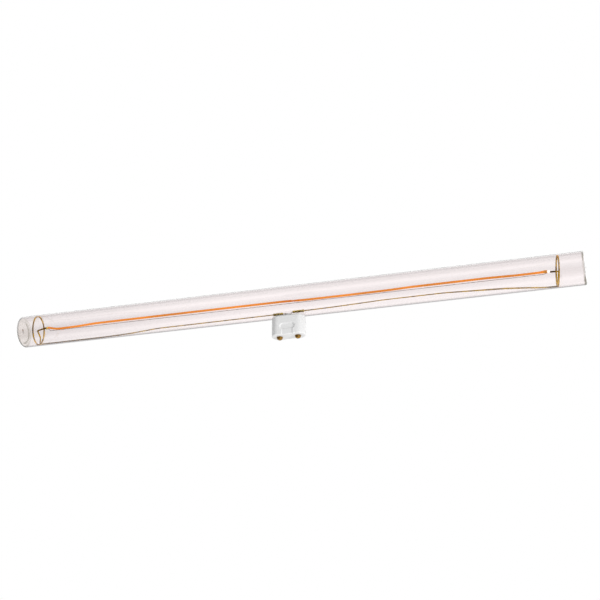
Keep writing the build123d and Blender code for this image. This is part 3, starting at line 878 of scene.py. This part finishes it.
    def execute(self, context):
        wires = context.scene.lamp_wires
        bore = tube_radius - context.scene.lamp_glass.wall
        heated = {"left": wires.browned, "right": wires.burnt}
        drawn = {side: drawn_wire("drawn_brass_" + side, wires.brass, wires.tarnish, heated[side], self.HEATED[side])
                 for side in SIDES}
        sleeve = drawn_wire("crimped_brass", wires.sleeve, shaded(wires.sleeve, 0.6))
        lead = drawn_wire("nickel_lead", (0.80, 0.78, 0.74), (0.60, 0.57, 0.52))
        section = circle(wire_radius, 16)
        for side in SIDES:
            route = self.support_route(side, wires, bore)
            pressed = np.interp(route[:, 0], self.HEATED[side], (0.0, 1.0, 1.0, 0.0))
            swell = np.interp(np.abs(route[:, 0]), self.THIN, (1.0, wires.swell))
            swell = swell + (wires.run_swell - wires.swell) * pressed
            make_piece("lead_wire_" + side, [carried(self.lead_route(side), section)], lead,
                       ["lead_in_" + side])
            make_piece("spring_wire_" + side, [carried(route, section, swell=swell)], drawn[side],
                       ["support_wire_" + side])
            make_piece("crimp_" + side, [self.sleeve_sheet(side, wires.sleeve_swell)], sleeve,
                       ["crimp_sleeve_" + side])
        return {"FINISHED"}


class LAMP_OT_filament(bpy.types.Operator):
    """Build the amber strip, its end tabs and the fine wire below it"""

    bl_idname = "lamp.filament"
    bl_label = "Filament"

    # Distance from the strip's right end where its flare is full, and where it starts
    FLARED = mm(2.0, 5.0)

    # Where the strip starts to turn over and how long it takes; angle and wavelength of the waver in its twist
    TURN_START, TURN_LENGTH = mm(-6.0, 18.0)
    WAVER = [(0.22, 90.0 * MM), (0.1, 31.0 * MM)]

    # Reach of the bends in the strip and in the wire below it; where that wire is cranked, from its end
    STRIP_BEND, CRANK_BEND = mm(4.0, 0.4)
    CRANK = np.array(mm(0.0, 0.8, 2.4))

    # Points along the strip; roundness of its section and of a tab's (1 is an ellipse); least size of a tab's end
    STRIP_STEPS, STRIP_ROUND, TAB_ROUND, TAB_END = 1300, 0.62, 0.8, 0.3

    def strip_route(self, strip):
        """The slack line of the strip, cut into even steps."""
        start, end = filament_low.x, filament_high.x
        ends = {side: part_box("filament_tab_" + side)[1].z - tab_margin - strip.height / 2 for side in SIDES}
        slack = np.array(FILAMENT_SLACK) * (1.0, MM)
        x = start + slack[:, 0] * (end - start)
        corners = np.stack([x, np.zeros(len(x)), axis_height + slack[:, 1]], axis=1)
        corners = [(start, 0.0, ends["left"]), *corners, (end, 0.0, ends["right"])]
        route = rounded_route(corners, self.STRIP_BEND)
        even = np.linspace(start, end, self.STRIP_STEPS)
        return np.stack([even, np.zeros(len(even)), np.interp(even, route[:, 0], route[:, 2])], axis=1)

    def carrier_route(self):
        """Straight, with both ends cranked up to the tabs."""
        radius = carrier_high.y
        low = carrier_low.z + radius
        end = {side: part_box("filament_tab_" + side)[0].z + tab_margin + radius for side in SIDES}
        left = np.stack([carrier_low.x + self.CRANK, np.zeros(3), [end["left"], end["left"], low]], axis=1)
        right = np.stack([carrier_high.x - self.CRANK, np.zeros(3), [end["right"], end["right"], low]], axis=1)
        return rounded_route(np.concatenate([left, right[::-1]]), self.CRANK_BEND)

    def tab_sheet(self, side):
        """A small plate: a rounded box section carried along the strip, drawn in at both ends by the root of one less
        the cube of the distance from its middle."""
        low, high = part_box("filament_tab_" + side)
        middle = (low + high) / 2
        t = np.linspace(-1.0, 1.0, 25)
        path = np.stack([middle.x + (high.x - middle.x) * t, 0 * t, middle.z + 0 * t], axis=1)
        section = superellipse(high.y, high.z - middle.z, self.TAB_ROUND, 28)
        return carried(path, section, swell=np.maximum(1.0 - np.abs(t) ** 3, self.TAB_END) ** 0.5)

    def execute(self, context):
        strip = context.scene.lamp_filament
        route = self.strip_route(strip)
        along = route[:, 0]
        twist = pi * eased(np.clip((along - self.TURN_START) / self.TURN_LENGTH, 0.0, 1.0))
        twist = twist + sum(amount * np.sin(along * 2 * pi / wave) for amount, wave in self.WAVER)
        swell = 1.0 + strip.chip_swell / strip.height * np.cos(along * 2 * pi / strip.chip_pitch)
        swell = swell + strip.flare * np.interp(filament_high.x - along, self.FLARED, (1.0, 0.0))
        section = superellipse(strip.width / 2, strip.height / 2, self.STRIP_ROUND, 20)
        make_piece("amber_strip", [carried(route, section, twist, swell)],
                   amber_coat("amber_silicone", strip), ["led_filament"])
        make_piece("under_wire", [carried(self.carrier_route(), circle(carrier_high.y, 12))],
                   drawn_wire("bright_steel", (0.34, 0.33, 0.33), (0.20, 0.19, 0.19)),
                   ["filament_carrier"])
        # Painted highlight: the right tab is near white and glows white for the highlight it catches; the left tab is
        # plain brass
        plates = {"left": plated_strip("brass_tab", (0.95, 0.68, 0.16), (0.60, 0.40, 0.08)),
                  "right": plated_strip("right_tab_painted_highlight", (0.97, 0.96, 0.94), (0.85, 0.83, 0.80), 0.5)}
        for side in SIDES:
            make_piece("end_tab_" + side, [self.tab_sheet(side)], plates[side], ["filament_tab_" + side])
        return {"FINISHED"}


class LAMP_OT_base(bpy.types.Operator):
    """Build the white base and the cement that joins it to the tube"""

    bl_idname = "lamp.base"
    bl_label = "Base"

    # Points on each half round and each straight of the outline, and on the side up to and above the recess
    ROUND, STRAIGHT = 28, 110
    SIDE_LOW, SIDE_HIGH = 76, 10

    # Inset of the bottom's inner loop, margin above the recess, edge of the rim and height of the loop inside the wall
    BOTTOM_INSET, RECESS_MARGIN, RIM_EDGE, INSIDE_LOOP = mm(3.0, 0.5, 0.15, 10.0)

    # Inset of each loop of cement and its height above the base, in mm, from the foot in the cavity to the lip's top
    CEMENT = [(1.65, -3.0), (1.65, -0.15), (1.70, -0.02), (2.10, 0.06), (2.20, 0.20), (2.20, 0.60), (2.20, 1.20),
              (2.25, 1.50), (2.40, 1.60)]

    # Loops of the cement's lip, and its lumps: depth, count round it and phase
    LIP = slice(4, 7)
    LUMPS = [(0.04 * MM, 9.0, 1.0), (0.03 * MM, 23.0, 0.0)]

    def recess(self, base, x, z):
        """Depth of the latch recess: the deeper of a pill and the slot below it, each with smooth sloping walls."""
        pill = np.hypot(np.maximum(np.abs(x) - (base.recess_half - base.recess_radius), 0.0), z - base.recess_height)
        slot = np.maximum(np.abs(x) - base.slot_half, z - base.recess_height)
        edges = np.stack([(base.recess_radius - pill) / base.recess_depth, -slot / base.slot_depth])
        steps = eased(np.clip(edges / np.tan(base.recess_draft), 0.0, 1.0))
        return np.maximum(base.recess_depth * steps[0], base.slot_depth * steps[1])

    def loops(self, insets, heights, ceiling, base=None):
        """Stadium loops, each set in from the base's outline, at its height or under the tube; recessed if asked."""
        outline, normal = obround(base_half - base_radius, base_radius, self.ROUND, self.STRAIGHT)
        inset = np.array(insets)[:, None] * np.ones(len(outline))
        z = np.array(heights)[:, None] * np.ones(len(outline))
        if base:
            flat = np.abs(normal[:, 1]) > 1 - 1e-9
            inset = inset + np.where(flat, self.recess(base, outline[:, 0], z), 0.0) * (inset < base.bottom_edge + 1e-9)
        points = outline[None] - inset[..., None] * normal[None]
        return lifted(points, np.minimum(z, tube_underside(points[..., 1], ceiling)))

    def shell(self, base, ceiling):
        """Up the outside with rounded edges, over the rim and down the inside to the floor."""
        bottom = arc((base.bottom_edge, base.bottom_edge), base.bottom_edge, -pi / 2, -pi, 8)
        top = arc((base.top_edge, base_top - base.top_edge), base.top_edge, pi, pi / 2, 6)
        recess_top = base.recess_height + base.recess_radius + self.RECESS_MARGIN
        sides = np.concatenate([np.linspace(base.bottom_edge, recess_top, self.SIDE_LOW)[1:],
                                np.linspace(recess_top, top[0, 1], self.SIDE_HIGH)[1:-1]])
        outside = self.loops(np.concatenate([[base_radius, self.BOTTOM_INSET], bottom[:, 0], 0 * sides, top[:, 0]]),
                             np.concatenate([[0.0, 0.0], bottom[:, 1], sides, top[:, 1]]), ceiling, base)
        inside = self.loops([base.wall - self.RIM_EDGE, base.wall, base.wall, base.wall, base_radius],
                            [base_top, base_top - self.RIM_EDGE, self.INSIDE_LOOP, base.floor, base.floor], ceiling)
        return sheet(np.concatenate([outside, inside]))

    def cement(self, ceiling):
        """Round the neck: up the cavity, in over its edge, up the lip to the tube, in along it and down the hole.
        The lip's loops are drawn in by waves round it."""
        insets, heights = np.array(self.CEMENT).T * MM
        heights = base_top + heights
        rows = self.loops(insets, heights, ceiling)
        bearing = np.arctan2(rows[-1, :, 1], rows[-1, :, 0])
        hole = (neck_radius + cement_gap) * np.stack([np.cos(bearing), np.sin(bearing)], 1)
        t = np.linspace(0.0, 1.0, 6)[1:, None, None]
        inner = (1 - t) * rows[-1, :, :2] + t * hole
        inner = lifted(inner, np.minimum(tube_underside(inner[..., 1], ceiling), heights[-1]))
        down = lifted(hole, np.full(len(hole), heights[0]))[None]
        lumps = sum(depth * np.sin(count * bearing + phase) for depth, count, phase in self.LUMPS)
        rows[self.LIP, :, :2] *= (1.0 - np.abs(lumps) / base_half)[None, :, None]
        return sheet(np.concatenate([rows, inner, down, rows[:1]]))

    def execute(self, context):
        base = context.scene.lamp_base
        ceiling = tube_radius + cement_gap
        make_piece("white_base", [self.shell(base, ceiling)], moulded_white("moulded_white_plastic", base.plastic),
                   ["base_shell"])
        make_piece("cement_bead", [self.cement(ceiling)], cured_paste("cured_cement", base.plastic),
                   ["base_cement"])
        return {"FINISHED"}


class LAMP_OT_contacts(bpy.types.Operator):
    """Build the two contact studs: a turned outline with a domed head"""

    bl_idname = "lamp.contacts"
    bl_label = "Contacts"

    def outline(self):
        """Radius and height in mm: the dome is an ellipse, then a short rim, the shank and the riveted tail."""
        dome = arc((0.0, 0.0), 1.0, -pi / 2, -0.05, 16) * (2.6, 2.3) - (0.0, 0.4)
        rest = np.array([(2.6, -0.4), (2.6, -0.08), (2.55, -0.02), (2.48, 0.0), (1.6, 0.0), (1.6, 2.2), (2.15, 2.2),
                         (2.2, 2.25), (2.2, 2.8), (2.05, 2.9), (0.0, 2.9)])
        return np.concatenate([dome, rest]) * MM

    def execute(self, context):
        tone = context.scene.lamp_base.contact
        radius, height = self.outline().T[:, :, None]
        x, y = circle(1.0, 64).T
        for side, sign in SIDES.items():
            points = np.stack([sign * stud_centre + radius * x, radius * y, height + 0 * x], axis=-1)
            make_piece("contact_" + side, [sheet(points)],
                       turned_brass("turned_brass_" + side, tone, (sign * stud_centre, 0.0, 0.0)),
                       ["contact_stud_" + side])
        return {"FINISHED"}


class LAMP_OT_driver(bpy.types.Operator):
    """Give the hidden driver parts their finishes"""

    bl_idname = "lamp.driver"
    bl_label = "Driver"

    def execute(self, context):
        pin = plated_strip("tinned_copper", (0.62, 0.62, 0.60), (0.40, 0.39, 0.37))
        chip = moulded_part("black_epoxy", (0.016, 0.016, 0.017), 0.45)
        finishes = {
            "driver_board": solder_mask("green_solder_mask"),
            "bridge_rectifier": chip,
            "current_regulator": chip,
            "fuse_resistor": moulded_part("grey_lacquer", (0.28, 0.33, 0.36), 0.35),
            "capacitor": moulded_part("tan_ceramic", (0.42, 0.27, 0.15), 0.40),
            "supply_pin_left": pin,
            "supply_pin_right": pin,
        }
        for name, material in finishes.items():
            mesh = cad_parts[name].data
            mesh.materials.clear()
            mesh.materials.append(material)
        return {"FINISHED"}


class LAMP_OT_stage(bpy.types.Operator):
    """Set the camera, the lights and the white surround"""

    bl_idname = "lamp.stage"
    bl_label = "Stage"

    # Name, direction from the lamp, distance, size (m) and power (W) of each area light
    LIGHTS = [
        ("key", (0.88, -0.42, -0.22), 1.6, 0.3, 12.5),
        ("bounce", (0.1, -0.2, -1.0), 1.2, 1.0, 4.2),
    ]

    # Angle above the line to the camera, in degrees, and level of the surround as a reflection shows it
    REFLECTED = [(-180, 0.60), (-142, 0.28), (-126, 0.40), (-114, 1.0), (-60, 1.0), (-40, 0.08), (14, 0.08), (36, 0.92),
                 (64, 0.92), (92, 0.36), (126, 0.42), (142, 0.60), (158, 0.85), (180, 0.96)]

    # Angle above the horizon, in degrees, and level of the surround as it is seen through glass
    TRANSMITTED = [(0, 1.0), (25, 1.0), (29, 0.88), (35, 0.77), (50, 0.69), (90, 0.69)]

    # The same for looks from behind: angle below the horizon
    FROM_BEHIND = [(0, 0.74), (10, 0.84), (22, 0.80), (40, 0.62), (90, 0.55)]

    # Zones of the surround, each from none to full: through glass, towards the left and from behind; as a reflection,
    # to the right, to the left and, there, at the back
    DIMMED, BEHIND = (0.28, 0.45), (-0.30, -0.15)
    RIGHT, LEFT, BACK = (0.05, 0.35), (-0.7, -0.5), (-0.1, 0.3)

    # How much the first zone dims, the level to the right, and the levels to the left at the back and in front
    DIMMING, RIGHT_LEVEL, LEFT_LEVELS = 0.13, 1.2, (0.85, 0.15)

    def surround(self, stage):
        """White where it is seen; dimmer towards its top where it is seen through glass; soft bands above and below the
        camera where it is reflected; a plain level where it lights a matt surface."""
        world = bpy.data.worlds.new("surround")
        world.use_nodes = True
        bpy.context.scene.world = world
        made = Finish.of_tree(world.node_tree)
        heading = made.node("TexCoord", out=0)
        sideways, depth, height = (made.part(heading, axis) for axis in range(3))
        rise = -stage.elevation
        ahead, above = (made.node("VectorMath", {"operation": "DOT_PRODUCT"}, {0: heading, 1: way}, 1)
                        for way in ((0.0, -cos(rise), -sin(rise)), (0.0, -sin(rise), cos(rise))))
        rays = made.node("LightPath").socket.node.outputs
        seen, matt, glossy = (Wire(made, rays[name]) for name in ("Is Camera Ray", "Is Diffuse Ray", "Glossy Depth"))
        elevation = height.math("ARCSINE") * (2.0 / pi)
        through = made.ramp(elevation, self.TRANSMITTED, 0, 90)
        through = through * (1.0 - self.DIMMING * made.steps(-1.0 * sideways, *self.DIMMED))
        from_behind = made.ramp(-1.0 * elevation, self.FROM_BEHIND, 0, 90)
        through = made.between(1.0 - made.steps(depth, *self.BEHIND), through, from_behind)
        bands = made.ramp(above.math("ARCTAN2", ahead) * (0.5 / pi) + 0.5, self.REFLECTED, -180, 180)
        bands = made.between(made.steps(sideways, *self.RIGHT), bands * stage.softbox, self.RIGHT_LEVEL)
        left = made.between(1.0 - made.steps(depth, *self.BACK), *self.LEFT_LEVELS)
        bands = made.between(1.0 - made.steps(sideways, *self.LEFT), bands, left)
        level = made.between(seen, through, 1.0)
        level = made.between(glossy.math("GREATER_THAN", 0.5), level, bands)
        level = made.between(matt, level, stage.ambient)
        background = world.node_tree.nodes["Background"]
        background.inputs["Color"].default_value = (1.0, 1.0, 1.0, 1.0)
        world.node_tree.links.new(level.socket, background.inputs["Strength"])

    def lights(self):
        """Area lights that face the tube's middle and show in no glass or mirror."""
        for name, heading, distance, size, power in self.LIGHTS:
            data = bpy.data.lights.new(name, "AREA")
            data.size = size
            data.energy = power
            lamp = bpy.data.objects.new(name, data)
            lamp.location = Vector((0.0, 0.0, axis_height)) + Vector(heading).normalized() * distance
            lamp.rotation_euler = Vector(heading).to_track_quat("Z", "Y").to_euler()
            lamp.visible_camera = lamp.visible_glossy = lamp.visible_transmission = False
            bpy.context.scene.collection.objects.link(lamp)

    def camera(self, stage):
        """A camera turned round the tube's middle, aimed a little beside it."""
        turn, rise = stage.azimuth, -stage.elevation
        right = Vector((cos(turn), sin(turn), 0.0))
        ahead = Vector((-sin(turn) * cos(rise), cos(turn) * cos(rise), sin(rise)))
        up = right.cross(ahead)
        middle = Vector((0.0, 0.0, axis_height))
        data = bpy.data.cameras.new("camera")
        data.lens = stage.lens
        data.clip_end = 100.0
        camera = bpy.data.objects.new("camera", data)
        place = middle + right * stage.aim_right + up * stage.aim_up - ahead * stage.distance
        turned = Matrix((right, up, -ahead)).transposed().to_4x4()
        camera.matrix_world = Matrix.Translation(place) @ turned
        bpy.context.scene.collection.objects.link(camera)
        bpy.context.scene.camera = camera

    def execute(self, context):
        stage = context.scene.lamp_stage
        context.scene.view_settings.view_transform = "Standard"
        self.surround(stage)
        self.lights()
        self.camera(stage)
        return {"FINISHED"}


OPERATORS = [LAMP_OT_glass_tube, LAMP_OT_glass_stem, LAMP_OT_wires, LAMP_OT_filament, LAMP_OT_base,
             LAMP_OT_contacts, LAMP_OT_driver, LAMP_OT_stage]
SETTINGS = {"lamp_glass": LampGlassSettings, "lamp_wires": LampWireSettings, "lamp_filament": LampFilamentSettings,
            "lamp_base": LampBaseSettings, "lamp_stage": LampStageSettings}


class LAMP_PT_build(bpy.types.Panel):
    """Lists the pieces of the lamp"""

    bl_idname = "LAMP_PT_build"
    bl_label = "Linear Filament Lamp"
    bl_space_type = "VIEW_3D"
    bl_region_type = "UI"
    bl_category = "Lamp"

    def draw(self, context):
        for operator in OPERATORS:
            self.layout.operator(operator.bl_idname)
        for key, group in SETTINGS.items():
            box = self.layout.box()
            for name in group.__annotations__:
                box.prop(getattr(context.scene, key), name)


def register():
    for group in SETTINGS.values():
        bpy.utils.register_class(group)
    for operator in OPERATORS:
        bpy.utils.register_class(operator)
    bpy.utils.register_class(LAMP_PT_build)
    for key, group in SETTINGS.items():
        setattr(bpy.types.Scene, key, PointerProperty(type=group))


def unregister():
    for key in SETTINGS:
        delattr(bpy.types.Scene, key)
    bpy.utils.unregister_class(LAMP_PT_build)
    for group in (*reversed(OPERATORS), *SETTINGS.values()):
        bpy.utils.unregister_class(group)


def main():
    """Registers the add-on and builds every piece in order."""
    register()
    bpy.ops.lamp.glass_tube()
    bpy.ops.lamp.glass_stem()
    bpy.ops.lamp.wires()
    bpy.ops.lamp.filament()
    bpy.ops.lamp.base()
    bpy.ops.lamp.contacts()
    bpy.ops.lamp.driver()
    bpy.ops.lamp.stage()


if __name__ == "__main__":
    main()
